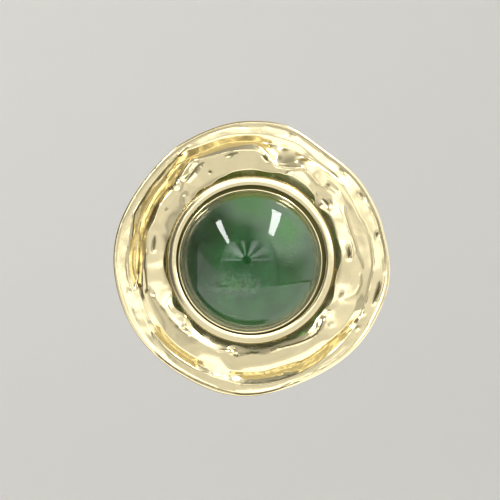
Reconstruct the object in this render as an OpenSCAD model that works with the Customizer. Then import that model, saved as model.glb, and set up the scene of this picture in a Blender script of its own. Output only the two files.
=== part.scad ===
// Statement stud earring: a hammered metal disc, a bezel cup with a flat rim, and a high domed stone.
// Frame: +Z up, the front faces -Y, and the origin is where the ear's skin meets the post's pad.
// Heights named "rise" are measured forward of that origin plane. Angles run clockwise from the
// top, as seen from the front.

/* [Disc] */

// distance of the disc's centre below the post, mm
disc_drop = 14;  // [8:0.5:20]
// outline and relief scale of the disc, 1 is the size worked out from the photo
disc_scale = 1;  // [0.8:0.01:1.2]
// thickness of the metal at the well's floor, mm
sheet = 0.8;  // [0.6:0.05:1.6]
// thickness of the brim, mm
brim_thickness = 1.0;  // [0.8:0.05:2]
// radius of the flat well floor that the cup is set on, mm
well_floor_r = 16.72;  // [16.7:0.02:16.9]
// height of the well's upright wall, where the slope around the cup begins, mm
gutter_rise = 1.3;  // [0.8:0.05:1.5]
// rise of the brim above the well floor, mm
brim_rise = 1.25;  // [0.9:0.05:1.5]
// radius where the back leaves the flat brim, mm
brim_inner_r = 25.4;  // [25.2:0.1:25.6]
// scale of the dents' depth, 0 leaves them out
dent_scale = 1;  // [0:0.1:2]
// number of sections around the disc
sections = 120;  // [60:12:144]

/* [Bezel cup] */

// thickness of the cup's floor under the stone, mm
cup_floor = 0.6;  // [0.4:0.05:1]
// thickness of the cup's floor in the groove around the collar, mm
groove_floor = 0.35;  // [0.3:0.05:0.5]
// outer radius of the cup's flat rim, mm
rim_outer_r = 16.62;  // [16.5:0.02:16.64]
// inner radius of the cup's flat rim, mm
rim_inner_r = 14.98;  // [14.9:0.02:15.4]
// height of the flat rim above the cup's back face, mm
rim_height = 1.36;  // [1:0.02:1.8]
// wall thickness of the thin collar around the stone, mm
collar_wall = 0.34;  // [0.28:0.02:0.42]
// height of the collar above the cup's back face, mm
collar_height = 1.68;  // [1.2:0.02:2.2]
// size of the bevels on the cup's edges, mm
edge_bevel = 0.1;  // [0.04:0.02:0.12]

/* [Stone] */

// radius of the domed stone, mm
stone_r = 14.02;  // [13.5:0.02:14.08]
// how far the stone sits to the left of the cup's axis, mm
stone_left = 0.19;  // [0:0.01:0.2]
// how far the stone sits below the cup's axis, mm
stone_low = 0.23;  // [0:0.01:0.25]
// height of the stone's straight girdle, mm
girdle = 0.9;  // [0.3:0.05:1.5]
// height of the dome above the girdle, mm
dome_height = 8.7;  // [6:0.1:12]

/* [Post] */

// diameter of the ear post, mm
post_d = 0.9;  // [0.7:0.05:1.1]
// length of the ear post behind its pad, mm
post_length = 11;  // [8:0.5:13]
// diameter of the post's flat pad, mm
pad_d = 6;  // [4:0.5:8]
// thickness of the post's flat pad, mm
pad_thickness = 0.8;  // [0.5:0.05:1.5]

/* [Fits] */

// gap left between pieces that are glued or set together, mm
gap = 0.06;  // [0.04:0.01:0.15]

/* [Hidden] */

back_rise = pad_thickness + gap;
floor_rise = back_rise + sheet;
cup_back_rise = floor_rise + gap;
stone_back_rise = cup_back_rise + cup_floor + gap;
collar_inner_r = stone_r + gap;
collar_outer_r = collar_inner_r + collar_wall;
gutter_top = floor_rise + gutter_rise;
brim_top = floor_rise + brim_rise;
brim_back = brim_top - brim_thickness;

gold = [0.91, 0.83, 0.60];
bezel_gold = [0.93, 0.86, 0.66];
green = [0.13, 0.30, 0.20];

// outline of the rim: [angle, radius]
RIM = [
    [0, 27.9], [10, 28.0], [36, 26.6], [57, 27.1], [76, 27.3], [100, 28.1], [118, 27.7],
    [157, 26.6], [188, 27.4], [212, 26.95], [250, 27.45], [272, 27.6], [309, 26.75], [330, 27.25],
];

// scalloped edge of the well around the cup: [angle, radius, rise above the well floor]
WELL = [
    [0, 18.20, 2.20], [10, 17.90, 2.25], [20, 18.40, 2.45], [28, 18.90, 2.65],
    [36, 18.70, 2.55], [43, 18.20, 2.30], [50, 17.00, 1.80], [62, 18.20, 2.25],
    [75, 17.70, 2.15], [86, 18.10, 2.25], [102, 17.25, 2.05], [118, 18.20, 2.20],
    [125, 17.60, 1.95], [134, 17.50, 1.88], [141, 17.70, 1.92], [150, 17.50, 1.88],
    [160, 17.00, 1.65], [178, 18.00, 2.02], [191, 17.30, 1.75], [200, 17.90, 2.00],
    [210, 18.20, 2.10], [218, 18.00, 2.05], [229, 17.10, 1.75], [239, 18.10, 2.20],
    [250, 17.00, 1.80], [268, 17.60, 2.10], [280, 17.30, 2.00], [288, 16.95, 1.85],
    [317, 16.95, 1.85], [323, 17.40, 2.00], [331, 17.05, 1.90], [340, 17.60, 2.10],
    [350, 18.10, 2.25],
];

// hammered band: [angle, crest radius, crest rise, shoulder radius, shoulder rise], rises above the
// well floor
BAND = [
    [0, 22.0, 2.55, 23.1, 2.20], [16, 19.5, 2.50, 20.2, 2.40], [28, 20.9, 2.60, 22.2, 2.35],
    [34, 20.7, 2.50, 22.6, 2.25], [40, 20.2, 2.35, 22.6, 2.15], [48, 21.0, 2.05, 22.7, 1.95],
    [60, 21.2, 2.10, 22.4, 1.92], [71, 20.7, 2.05, 22.5, 1.87], [84, 21.1, 2.10, 22.9, 1.87],
    [94, 22.2, 2.00, 23.2, 1.87], [109, 22.0, 2.00, 22.9, 1.87], [118, 20.6, 2.10, 22.9, 1.93],
    [126, 19.0, 2.15, 22.9, 2.00], [132, 19.0, 2.45, 22.6, 2.05],
    [139, 19.5, 2.72, 22.3, 2.15], [150, 19.0, 2.58, 22.3, 2.10],
    [161, 18.5, 2.35, 21.9, 2.05], [175, 18.7, 2.35, 22.2, 2.05],
    [190, 19.4, 2.30, 22.4, 2.05], [197, 19.5, 2.60, 21.6, 2.05],
    [212, 19.7, 2.68, 22.5, 2.05], [225, 19.7, 2.35, 22.6, 2.05],
    [243, 20.2, 2.25, 22.0, 2.05], [256, 21.4, 2.30, 22.2, 2.12],
    [268, 21.1, 2.40, 21.7, 2.30], [274, 20.9, 2.50, 21.3, 2.45],
    [286, 21.2, 2.65, 21.5, 2.60], [292, 20.8, 2.75, 21.1, 2.70],
    [300, 21.2, 2.80, 21.5, 2.75], [311, 21.0, 2.80, 21.3, 2.75],
    [320, 22.0, 2.65, 22.3, 2.55], [329, 23.0, 2.50, 23.4, 2.35],
    [335, 22.4, 2.45, 22.9, 2.30], [343, 22.1, 2.50, 22.8, 2.30],
    [352, 22.1, 2.58, 22.9, 2.30],
];

// valley between band and brim: [angle, foot radius, foot rise, lip radius, lip rise]
VALLEY = [
    [0, 23.7, 0.30, 25.2, 1.25], [20, 23.4, 0.60, 25.0, 1.30], [35, 23.4, 1.20, 24.0, 1.28],
    [56, 24.0, 1.50, 24.5, 1.47], [72, 24.2, 1.50, 24.9, 1.45], [92, 24.6, 1.52, 25.3, 1.45],
    [112, 24.4, 1.45, 25.1, 1.41], [124, 23.8, 0.90, 24.6, 1.30],
    [136, 23.0, 0.15, 24.5, 1.25], [150, 23.1, 0.10, 24.5, 1.25],
    [165, 22.8, 0.10, 24.7, 1.25], [182, 23.0, 0.20, 24.8, 1.25],
    [193, 23.4, 1.20, 24.6, 1.33], [200, 23.4, 1.10, 24.5, 1.33],
    [212, 23.3, 0.45, 24.3, 1.30], [228, 23.4, 0.50, 24.3, 1.25],
    [242, 23.4, 1.10, 24.3, 1.22], [254, 23.3, 1.00, 24.4, 1.17],
    [263, 23.2, 0.25, 24.7, 1.15], [277, 23.1, 0.15, 24.7, 1.20],
    [291, 23.3, 0.15, 25.1, 1.20], [310, 23.2, 0.15, 25.0, 1.20],
    [325, 23.9, 0.25, 25.5, 1.20], [337, 23.6, 0.30, 25.2, 1.25],
    [350, 23.7, 0.30, 25.3, 1.25],
];

// hammer dents in the front: [angle, radius, width, depth]
DENTS = [
    [12, 21.6, 1.7, 0.35], [24, 21.4, 1.3, 0.25], [46, 19.0, 1.1, 0.20], [85, 19.4, 1.4, 0.18],
    [106, 26.1, 1.2, 0.15], [121, 25.2, 1.1, 0.15], [79, 25.8, 1.1, 0.12], [60, 25.6, 1.1, 0.12],
    [192, 19.0, 1.2, 0.20], [254, 22.6, 1.4, 0.30], [256, 24.6, 1.3, 0.20], [280, 19.7, 1.2, 0.18],
    [315, 18.0, 1.2, 0.15], [334, 19.4, 1.1, 0.15], [348, 21.4, 1.4, 0.20],
    [145, 21.0, 2.0, 0.15], [215, 20.0, 1.9, 0.15], [170, 24.4, 1.8, 0.12], [232, 24.4, 1.8, 0.12],
];

// smooth periodic reading of one column of a table whose first column is an angle
function lookup_at(t, a, col) =
    let (
        n = len(t),
        before = [for (i = [0:n - 1]) if (t[i][0] <= a) i],
        i = len(before) > 0 ? before[len(before) - 1] : n - 1,
        j = (i + 1) % n,
        span = (t[j][0] - t[i][0] + 360) % 360,
        part = ((a - t[i][0] + 360) % 360) / span
    )
    t[i][col] + (t[j][col] - t[i][col]) * (1 - cos(180 * part)) / 2;

function mix(a, b, u) = a + (b - a) * u;

// depth of all dents at one place on the front
function dent_at(a, r) = dent_scale * sumv([
    for (d = DENTS)
        let (
            away = sqrt(r * r + d[1] * d[1] - 2 * r * d[1] * cos(a - d[0])),
            reach = away / d[2]
        )
        reach < 2.2 ? d[3] * exp(-reach * reach) : 0
]);
function sumv(v, i = 0) = i < len(v) ? v[i] + sumv(v, i + 1) : 0;

// steps used between the section's knots
SLOPE = [0, 0.25, 0.5, 0.75];
SHORT = [0, 0.33, 0.67];
HALF = [0, 0.5];

// front of one section from the well's floor to the rim: [radius, rise]
function front(a) =
    let (
        rim = lookup_at(RIM, a, 1),
        well = lookup_at(WELL, a, 1),
        edge = floor_rise + lookup_at(WELL, a, 2),
        crest = lookup_at(BAND, a, 1),
        top = floor_rise + lookup_at(BAND, a, 2),
        shoulder = lookup_at(BAND, a, 3),
        side = floor_rise + lookup_at(BAND, a, 4),
        foot = lookup_at(VALLEY, a, 1),
        low = floor_rise + lookup_at(VALLEY, a, 2),
        lip = lookup_at(VALLEY, a, 3),
        step = floor_rise + lookup_at(VALLEY, a, 4),
        line = concat(
            [for (u = SHORT) [mix(well_floor_r, well, u), mix(gutter_top, edge, u)]],
            [for (u = SLOPE) [mix(well, crest, u), mix(edge, top, u)]],
            [for (u = HALF) [mix(crest, shoulder, u), mix(top, side, u)]],
            [for (u = SLOPE) [mix(shoulder, foot, u), mix(side, low, u)]],
            [for (u = SHORT) [mix(foot, lip, u), mix(low, step, u)]],
            [for (u = SHORT) [mix(lip, rim - 0.9, u), mix(step, brim_top, u)]]
        )
    )
    concat(
        [[well_floor_r - 0.03, floor_rise]],
        [for (p = line) [p[0], p[1] - dent_at(a, p[0])]],
        [
            [rim - 0.75, brim_top + 0.10],
            [rim - 0.42, brim_top + 0.12],
            [rim - 0.12, brim_top - 0.08],
            [rim, brim_top - 0.40],
        ]
    );

// back of one section from the rim to the flat under the cup: [radius, rise]
function back(a) =
    let (
        rim = lookup_at(RIM, a, 1),
        crest = min(lookup_at(BAND, a, 1), 21.6),
        under = floor_rise + lookup_at(BAND, a, 2) - brim_thickness,
        foot = lookup_at(VALLEY, a, 1),
        low = floor_rise + lookup_at(VALLEY, a, 2) - 0.75
    )
    [
        [rim - 0.05, brim_back + 0.25],
        [rim - 0.30, brim_back],
        [brim_inner_r, brim_back],
        [foot + 0.4, low],
        [foot - 0.2, low],
        [crest + 0.1, under - 0.1],
        [crest - 0.3, under],
        [19.0, under - 0.25],
        [17.5, back_rise],
    ];

// a closed body of rings: each section is a list of [radius, rise], joined to its neighbour and
// to a point on the axis at both ends
module ring_body(loops, first_rise, last_rise) {
    n = len(loops);
    m = len(loops[0]);
    points = concat(
        [
            for (i = [0:n - 1])
                let (a = 360 * i / n)
                for (p = loops[i]) [p[0] * disc_scale * sin(a), -p[1], p[0] * disc_scale * cos(a)]
        ],
        [[0, -first_rise, 0], [0, -last_rise, 0]]
    );
    faces = concat(
        [for (i = [0:n - 1]) [n * m, i * m, ((i + 1) % n) * m]],
        [
            for (i = [0:n - 1])
                let (k = (i + 1) % n)
                for (j = [0:m - 2]) each [
                    [i * m + j, i * m + j + 1, k * m + j],
                    [k * m + j, i * m + j + 1, k * m + j + 1],
                ]
        ],
        [for (i = [0:n - 1]) [n * m + 1, ((i + 1) % n) * m + m - 1, i * m + m - 1]]
    );
    polyhedron(points = points, faces = faces, convexity = 8);
}

module hammered_disc() {
    loops = [
        for (i = [0:sections - 1])
            let (a = 360 * i / sections)
            concat(front(a), back(a))
    ];
    color(gold)
        translate([0, 0, -disc_drop])
            ring_body(loops, floor_rise, back_rise);
}

// spins what is drawn as radius against rise about the disc's axis
module on_disc_axis(rise) {
    translate([0, -rise, -disc_drop])
        rotate([90, 0, 0])
            rotate_extrude($fn = 96)
                children();
}

// moves what sits on the disc's axis to the stone's
module at_stone() {
    translate([-stone_left, 0, -stone_low])
        children();
}

// section of an upright wall with bevelled top edges
module wall_section(inner, outer, height) {
    polygon([
        [inner, 0], [outer, 0], [outer, height - edge_bevel], [outer - edge_bevel, height],
        [inner + edge_bevel, height], [inner, height - edge_bevel],
    ]);
}

module bezel_cup() {
    color(bezel_gold)
        union() {
            on_disc_axis(cup_back_rise)
                union() {
                    square([rim_outer_r, groove_floor]);
                    wall_section(rim_inner_r, rim_outer_r, rim_height);
                }
            at_stone()
                on_disc_axis(cup_back_rise + 0.1)
                    union() {
                        square([collar_outer_r, cup_floor - 0.1]);
                        wall_section(collar_inner_r, collar_outer_r, collar_height - 0.1);
                    }
        }
}

module domed_stone() {
    color(green)
        at_stone()
            on_disc_axis(stone_back_rise)
                union() {
                    square([stone_r, girdle]);
                    translate([0, girdle])
                        intersection() {
                            scale([1, dome_height / stone_r])
                                circle(r = stone_r, $fn = 96);
                            square([stone_r, dome_height]);
                        }
                }
}

module ear_post() {
    color(gold)
        rotate([-90, 0, 0])
            union() {
                translate([0, 0, -pad_thickness])
                    cylinder(d = pad_d, h = pad_thickness, $fn = 64);
                translate([0, 0, -pad_thickness / 2])
                    cylinder(d = post_d, h = pad_thickness / 2 + post_length - 0.3, $fn = 48);
                translate([0, 0, post_length - 0.3])
                    cylinder(d1 = post_d, d2 = post_d * 0.5, h = 0.3, $fn = 48);
            }
}

hammered_disc();
bezel_cup();
domed_stone();
ear_post();
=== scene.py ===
import math

import bmesh
import bpy
from mathutils import Matrix, Vector
from mathutils.kdtree import KDTree


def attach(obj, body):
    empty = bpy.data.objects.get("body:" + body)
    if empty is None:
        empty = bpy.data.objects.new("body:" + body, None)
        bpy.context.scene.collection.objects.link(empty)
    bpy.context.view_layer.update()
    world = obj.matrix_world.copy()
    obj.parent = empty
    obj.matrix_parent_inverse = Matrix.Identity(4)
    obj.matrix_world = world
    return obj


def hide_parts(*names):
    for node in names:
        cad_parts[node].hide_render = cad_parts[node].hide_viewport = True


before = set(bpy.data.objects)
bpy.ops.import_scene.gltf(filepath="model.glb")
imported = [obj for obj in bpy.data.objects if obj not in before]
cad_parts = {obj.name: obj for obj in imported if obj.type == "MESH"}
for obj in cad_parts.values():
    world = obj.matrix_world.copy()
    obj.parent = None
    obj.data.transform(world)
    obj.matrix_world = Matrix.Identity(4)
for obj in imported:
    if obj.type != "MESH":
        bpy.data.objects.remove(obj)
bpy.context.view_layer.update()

# A statement stud earring: hammered disc, polished bezel cup, domed stone and ear post.
# Lengths in the tables are millimetres. "Rise" is how far forward of the ear's skin a point lies,
# and angles run clockwise from the top, as seen from the front.

MM = 0.001
DISC_DROP = 14.0
PAD = 0.8
GLUE = 0.06
SHEET = 0.8
BRIM_THICKNESS = 1.0

BACK = PAD + GLUE
FLOOR = BACK + SHEET
CUP_BACK = FLOOR + GLUE
STONE_BACK = CUP_BACK + 0.6 + GLUE
CUP_HEIGHT = 1.36
COLLAR_HEIGHT = 1.68
COLLAR_R = 14.42
COLLAR_WALL = 0.34
STONE_R = 14.02
STONE_SHIFT = (-0.19, -0.23)
STONE_AXIS = Vector((STONE_SHIFT[0], 0, STONE_SHIFT[1] - DISC_DROP)) * MM
WELL_R = 16.72
GUTTER = FLOOR + 1.30
BRIM = FLOOR + 1.25
BRIM_BACK = BRIM - BRIM_THICKNESS

# how many points make up a ring of the disc and of the cup
AROUND = 480

# outline of the rim: angle, radius
RIM = [
    (0, 27.9), (10, 28.0), (36, 26.6), (57, 27.1), (76, 27.3), (100, 28.1), (118, 27.7),
    (157, 26.6), (188, 27.4), (212, 26.95), (250, 27.45), (272, 27.6), (309, 26.75), (330, 27.25),
]

# scalloped edge of the well around the bezel: angle, radius, rise above the well floor
WELL = [
    (0, 18.2, 2.20), (10, 17.9, 2.25), (20, 18.4, 2.45), (28, 18.9, 2.65), (36, 18.7, 2.55),
    (43, 18.2, 2.30), (50, 17.0, 1.80), (62, 18.2, 2.25), (75, 17.7, 2.15), (86, 18.1, 2.25),
    (102, 17.25, 2.05), (118, 18.2, 2.20), (125, 17.6, 1.95), (134, 17.5, 1.88), (141, 17.7, 1.92),
    (150, 17.5, 1.88), (160, 17.0, 1.65), (178, 18.0, 2.02), (191, 17.3, 1.75), (200, 17.9, 2.00),
    (210, 18.2, 2.10), (218, 18.0, 2.05), (229, 17.1, 1.75), (239, 18.1, 2.20), (250, 17.0, 1.80),
    (268, 17.6, 2.10), (280, 17.3, 2.00), (288, 16.95, 1.85), (317, 16.95, 1.85), (323, 17.4, 2.00),
    (331, 17.05, 1.90), (340, 17.6, 2.10), (350, 18.1, 2.25),
]

# crest and shoulder of the hammered band: angle, crest radius, crest rise, shoulder radius,
# shoulder rise; rises are above the well floor
BAND = [
    (0, 22.0, 2.55, 23.1, 2.20), (16, 19.5, 2.50, 20.2, 2.40), (28, 20.9, 2.60, 22.2, 2.35),
    (34, 20.7, 2.50, 22.6, 2.25), (40, 20.2, 2.35, 22.6, 2.15), (48, 21.0, 2.05, 22.7, 1.95),
    (60, 21.2, 2.10, 22.4, 1.92), (71, 20.7, 2.05, 22.5, 1.87), (84, 21.1, 2.10, 22.9, 1.87),
    (94, 22.2, 2.00, 23.2, 1.87), (109, 22.0, 2.00, 22.9, 1.87), (118, 20.6, 2.10, 22.9, 1.93),
    (126, 19.0, 2.15, 22.9, 2.00), (132, 19.0, 2.45, 22.6, 2.05), (139, 19.5, 2.72, 22.3, 2.15),
    (150, 19.0, 2.58, 22.3, 2.10), (161, 18.5, 2.35, 21.9, 2.05), (175, 18.7, 2.35, 22.2, 2.05),
    (190, 19.4, 2.30, 22.4, 2.05), (197, 19.5, 2.60, 21.6, 2.05), (212, 19.7, 2.68, 22.5, 2.05),
    (225, 19.7, 2.35, 22.6, 2.05), (243, 20.2, 2.25, 22.0, 2.05), (256, 21.4, 2.30, 22.2, 2.12),
    (268, 21.1, 2.40, 21.7, 2.30), (274, 20.9, 2.50, 21.3, 2.45), (286, 21.2, 2.65, 21.5, 2.60),
    (292, 20.8, 2.75, 21.1, 2.70), (300, 21.2, 2.80, 21.5, 2.75), (311, 21.0, 2.80, 21.3, 2.75),
    (320, 22.0, 2.65, 22.3, 2.55), (329, 23.0, 2.50, 23.4, 2.35), (335, 22.4, 2.45, 22.9, 2.30),
    (343, 22.1, 2.50, 22.8, 2.30), (352, 22.1, 2.58, 22.9, 2.30),
]

# valley between band and brim: angle, foot radius, foot rise, lip radius, lip rise
VALLEY = [
    (0, 23.7, 0.30, 25.2, 1.25), (20, 23.4, 0.60, 25.0, 1.30), (35, 23.4, 1.20, 24.0, 1.28),
    (56, 24.0, 1.50, 24.5, 1.47), (72, 24.2, 1.50, 24.9, 1.45), (92, 24.6, 1.52, 25.3, 1.45),
    (112, 24.4, 1.45, 25.1, 1.41), (124, 23.8, 0.90, 24.6, 1.30), (136, 23.0, 0.15, 24.5, 1.25),
    (150, 23.1, 0.10, 24.5, 1.25), (165, 22.8, 0.10, 24.7, 1.25), (182, 23.0, 0.20, 24.8, 1.25),
    (193, 23.4, 1.20, 24.6, 1.33), (200, 23.4, 1.10, 24.5, 1.33), (212, 23.3, 0.45, 24.3, 1.30),
    (228, 23.4, 0.50, 24.3, 1.25), (242, 23.4, 1.10, 24.3, 1.22), (254, 23.3, 1.00, 24.4, 1.17),
    (263, 23.2, 0.25, 24.7, 1.15), (277, 23.1, 0.15, 24.7, 1.20),
    (291, 23.3, 0.15, 25.1, 1.20), (310, 23.2, 0.15, 25.0, 1.20), (325, 23.9, 0.25, 25.5, 1.20),
    (337, 23.6, 0.30, 25.2, 1.25), (350, 23.7, 0.30, 25.3, 1.25),
]

# creases chased along a line: width, depth (less than 0 for a ridge), how dark the old polish and
# painted shade in them is, (angle, radius) of their points
CREASES = [
    # left and lower edge of the dent at the upper right, and its tail
    (0.55, -0.10, 0.0, ((4, 22.8), (12, 20.0), (15, 19.4), (20, 19.6), (25, 20.2), (29, 21.0))),
    (0.55, -0.08, 0.3, ((29, 21.0), (33, 20.7), (37, 20.2), (41, 20.0), (44, 20.4), (46, 21.2))),
    # crest line and outer line on the right
    (0.50, -0.05, 0.4, ((60, 21.4), (63, 20.9), (70, 20.6), (75, 20.6), (80, 20.9), (86, 21.1),
                        (91, 21.9), (94, 22.3))),
    (0.50, -0.04, 0.25, ((98, 22.0), (103, 22.4), (108, 22.0), (110, 21.4), (112, 20.4))),
    (0.45, 0.06, 0.3, ((30, 23.6), (36, 23.2), (52, 23.5), (68, 23.4), (75, 23.9), (80, 24.2), (92, 24.5),
                       (100, 24.2), (118, 24.4))),
    # inner edge of the lower plateau, then the crest line on the left
    (0.50, -0.10, 0.95, ((129.5, 18.5), (132, 18.9), (136, 19.4), (139, 19.6), (142, 19.5), (150, 19.0),
                         (158, 18.5), (163, 18.4))),
    (0.50, -0.10, 0.6, ((163, 18.4), (168, 18.6), (172, 18.8), (180, 18.6), (184, 18.9), (188, 19.3),
                        (191, 19.5))),
    (0.50, -0.08, 0.0, ((193, 18.6), (200, 19.2), (210, 19.2), (218, 19.2), (224, 18.2), (229, 17.4))),
    (0.50, -0.08, 0.8, ((253, 22.0), (256, 21.5), (262, 21.3), (268, 21.3), (274, 21.1))),
    (0.50, -0.08, 0.0, ((274, 21.0), (284, 21.4), (292, 20.9), (300, 21.2), (314, 21.0), (320, 21.8),
                        (328, 23.0))),
    # dark line along the lip of the left valley, pale streaks inside it and a ridge outside it
    (0.45, -0.08, 0.95, ((281, 24.2), (285, 24.4), (292, 25.1), (300, 24.7), (313, 24.8), (321, 25.1),
                         (331, 25.9))),
    (0.45, -0.08, 0.0, ((284, 23.4), (292, 23.7), (300, 23.5), (312, 23.5), (320, 24.1))),
    (0.45, -0.08, 0.0, ((287, 24.0), (295, 24.2), (303, 24.0), (312, 24.0), (324, 24.7))),
    (0.40, -0.06, 0.0, ((292, 24.7), (300, 24.5), (308, 24.4))),
    (0.45, -0.06, 0.2, ((289, 26.3), (305, 26.0), (312, 26.2), (321, 26.6))),
    # grooves just inside the rim
    (0.40, 0.05, 0.35, ((268, 26.9), (285, 26.8), (300, 26.2), (312, 26.0), (325, 26.4), (340, 26.8),
                        (355, 27.1))),
    (0.40, 0.05, 0.35, ((5, 27.2), (20, 26.9), (36, 25.8), (50, 26.2), (62, 26.4))),
    (0.40, 0.05, 0.40, ((118, 26.9), (130, 26.6), (142, 26.1), (152, 25.8))),
    # bright corner at the upper left
    (1.25, -0.50, 0.0, ((313, 20.9), (317, 21.3), (321, 21.7), (326, 22.4), (329, 22.8))),
    (0.60, -0.10, 0.0, ((315, 21.3), (325, 22.5), (330, 23.0), (334, 22.7), (340, 22.2), (344, 22.1))),
    # more grooves inside the rim
    (0.40, 0.05, 0.4, ((66, 26.0), (72, 26.4), (80, 26.6), (95, 26.9))),
    (0.40, 0.05, 0.3, ((342, 26.6), (350, 26.9), (358, 26.8))),
    (0.40, 0.08, 0.9, ((158, 26.1), (165, 26.2), (175, 26.7), (184, 26.9), (192, 26.7), (200, 26.5),
                       (212, 26.4), (226, 26.7))),
    # lips of the lower valley
    (0.45, -0.07, 0.5, ((200, 24.1), (205, 24.4), (215, 24.5), (225, 24.6), (233, 24.3))),
    (0.45, -0.08, 0.3, ((127, 24.6), (140, 24.8), (155, 24.7), (170, 24.9), (184, 25.0))),
    # leaf at the far left, and the zigzag at the lower right
    (0.50, 0.03, 0.8, ((259, 22.9), (263, 22.8), (268, 22.5), (273, 22.4), (276, 22.6))),
    (0.45, 0.03, 0.6, ((258, 24.8), (262, 25.1), (267, 25.1), (272, 25.0), (276, 24.8))),
    (0.45, -0.09, 0.0, ((116, 25.6), (119, 24.6), (122, 25.0), (125, 24.4))),
]

# hammer marks, pushed in along a short line: width, depth, how dark the old polish and painted
# shade in them is, (angle, radius) of their points
MARKS = [
    # dark dash beside the dent at the upper right, and the glints in it
    (0.60, 0.08, 0.9, ((6.3, 21.0), (7.5, 20.6), (9.2, 20.1))),
    (0.90, 0.22, 0.0, ((8.0, 23.4), (8.6, 23.7))),
    (1.00, 0.24, 0.0, ((15.5, 23.2), (16.5, 23.4))),
    (0.90, 0.22, 0.0, ((13.5, 20.9), (14.5, 21.2))),
    (1.00, 0.24, 0.0, ((25.0, 22.0), (27.0, 22.8))),
    # dark dashes on the plateau and on the brim
    (0.70, 0.08, 0.8, ((49.5, 18.8), (52.0, 18.9), (55.5, 18.8))),
    (0.80, 0.10, 0.95, ((82.8, 19.55), (86.0, 19.6), (88.8, 19.45))),
    (0.70, 0.10, 0.95, ((99.8, 26.1), (102.0, 26.2), (109.5, 25.95))),
    (0.70, 0.08, 0.7, ((110.2, 19.2), (112.5, 19.35))),
    (0.80, 0.10, 0.85, ((276.0, 19.65), (280.0, 19.7), (283.8, 19.9))),
    (0.70, 0.08, 0.75, ((346.0, 21.4), (352.5, 21.6))),
    (0.80, 0.13, 0.85, ((322.0, 20.5), (326.0, 20.9), (330.0, 21.6), (334.0, 21.7))),
    # pits below the cup, on the brim and at the upper left
    (0.60, 0.10, 0.9, ((188.0, 19.3), (190.5, 19.3))),
    (0.55, 0.10, 0.8, ((191.5, 18.2), (193.5, 18.3))),
    (0.60, 0.10, 0.2, ((129.0, 20.4),)),
    (0.70, 0.10, 0.5, ((17.0, 26.4), (18.0, 26.3))),
    (0.70, 0.11, 0.7, ((44.2, 25.6), (46.2, 25.6))),
    (0.80, 0.11, 0.8, ((58.5, 25.6), (60.5, 25.7))),
    (0.80, 0.12, 0.95, ((77.8, 25.9), (79.2, 25.7))),
    (0.70, 0.11, 0.7, ((121.8, 25.2), (122.8, 25.1))),
    (0.70, 0.16, 0.0, ((121.5, 24.2),)),
    (0.50, 0.10, 0.95, ((334.4, 19.45), (335.2, 19.5))),
    (0.55, 0.06, 0.5, ((300.0, 19.8), (301.5, 19.8))),
    # folds beside the cup at the upper left, and of the small bowl at the upper right
    (0.80, 0.14, 0.2, ((311.0, 17.8), (313.0, 18.4))),
    (0.60, 0.10, 0.2, ((315.0, 18.0), (317.0, 18.6))),
    (1.00, 0.14, 0.0, ((47.0, 21.5), (50.0, 21.8))),
    (0.60, 0.06, 0.6, ((45.5, 21.3), (46.0, 21.8))),
    # crumpled spot on the left, below the leaf, and a dent below it
    (0.70, 0.12, 0.9, ((253.0, 22.1), (254.5, 21.6))),
    (0.70, 0.12, 0.8, ((256.5, 22.6), (258.0, 22.8))),
    (0.70, 0.11, 0.8, ((257.0, 23.9), (258.5, 23.6))),
    (0.60, 0.16, 0.0, ((251.5, 20.9),)),
    (0.60, 0.16, 0.0, ((256.0, 25.2),)),
    (0.60, 0.14, 0.0, ((260.0, 21.0),)),
    (0.90, 0.16, 0.0, ((225.0, 18.9),)),
]

# brown painted shade in the gap around the cup, and a brown painted dark reflection in the deep parts
# of the valley: width, how dark, (angle, radius) of its points
PAINTED_SHADE = [
    (1.00, 0.35, ((-42, 17.0), (-20, 17.2), (10, 17.4), (28, 17.7), (40, 17.4), (52, 17.0), (62, 17.4),
                  (90, 17.3), (118, 17.3), (140, 17.1), (160, 17.0), (178, 17.3), (192, 17.1), (208, 17.3),
                  (230, 17.0), (240, 17.3), (250, 17.0), (270, 17.2), (284, 17.0))),
    (0.50, 0.40, ((272, 21.4), (275, 21.5), (280, 21.8), (284, 22.0))),
    (0.85, 0.50, ((284, 22.0), (290, 22.1), (297, 22.0), (304, 22.2), (312, 22.2), (318, 22.6),
                  (324, 23.1))),
    (0.80, 0.20, ((200, 22.8), (206, 22.6))),
]

# folds that are rubbed down: first and last angle, inner and outer radius, how many rubs
RUBBED = [
    (95, 264, 18.9, 22.4, 80),
    (40, 58, 18.6, 22.0, 80),
    (54, 114, 20.3, 25.8, 1000),
]

# first and last angle of the left valley, whose inner slope is smooth, and of the lower one,
# whose floor is crackled
SMOOTH_VALLEY = (264, 332)
CRACKLED_VALLEY = (105, 235)


def hex_colour(text):
    """An sRGB hex colour as linear RGBA."""
    parts = [int(text[i:i + 2], 16) / 255 for i in (0, 2, 4)]
    return tuple(c / 12.92 if c <= 0.04045 else ((c + 0.055) / 1.055) ** 2.4 for c in parts) + (1.0,)


def read_round(table, angle, column):
    """Smooth reading of a table's column, which runs right round the disc."""
    angle %= 360
    low = max((i for i, row in enumerate(table) if row[0] <= angle), default=len(table) - 1)
    high = (low + 1) % len(table)
    span = (table[high][0] - table[low][0]) % 360
    part = ((angle - table[low][0]) % 360) / span
    a, b = table[low][column], table[high][column]
    return a + (b - a) * (1 - math.cos(math.pi * part)) / 2


def mix(a, b, u):
    """The value a share u of the way from a to b."""
    return a + (b - a) * u


def place(angle, radius, rise):
    """The point in the row frame, in metres, at an angle, radius and rise on the disc."""
    a = math.radians(angle)
    return Vector((radius * math.sin(a), -rise, radius * math.cos(a) - DISC_DROP)) * MM


def angle_of(co):
    """Clock angle of a point about the disc's centre, in degrees."""
    return math.degrees(math.atan2(co.x, co.z + DISC_DROP * MM)) % 360


def radius_of(co):
    """Distance of a point from the disc's axis, in millimetres."""
    return math.hypot(co.x, co.z + DISC_DROP * MM) / MM


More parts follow.
